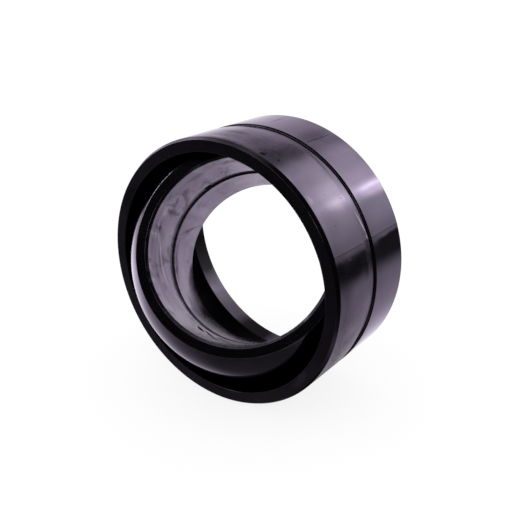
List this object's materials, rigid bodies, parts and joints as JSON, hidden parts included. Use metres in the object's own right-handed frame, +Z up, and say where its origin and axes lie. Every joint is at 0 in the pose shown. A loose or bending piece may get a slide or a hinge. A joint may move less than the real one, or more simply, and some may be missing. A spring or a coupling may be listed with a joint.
{
  "type": "spherical plain bearing",
  "caption": "Radial spherical plain bearing: a ball-shaped inner ring with a grooved bore, swivelled inside a fracture-split outer ring.",
  "frame": {"origin": "centre of the outer ring, which is also the centre of the ball", "axes": "-Y along the outer ring's axis, out of its front face; +Z up, as the bearing stands in the picture"},
  "size_m": [0.12, 0.1054, 0.12],
  "materials": {
    "outer_ring_steel": "phosphated and oiled bearing steel, near black, glossy under its oil",
    "inner_ring_steel": "phosphated and oiled bearing steel, near black, smooth and glossy"
  },
  "bodies": {
    "outer_ring": {"outer_ring": "outer_ring_steel"},
    "inner_ring": {"inner_ring": "inner_ring_steel"}
  },
  "joints": [
    {"name": "inner_ring_swivel", "type": "hinge", "parent": "outer_ring", "child": "inner_ring", "pos_m": [0, 0, 0], "axis": [-0.7912, 0, 0.6115], "continuous": true}
  ]
}
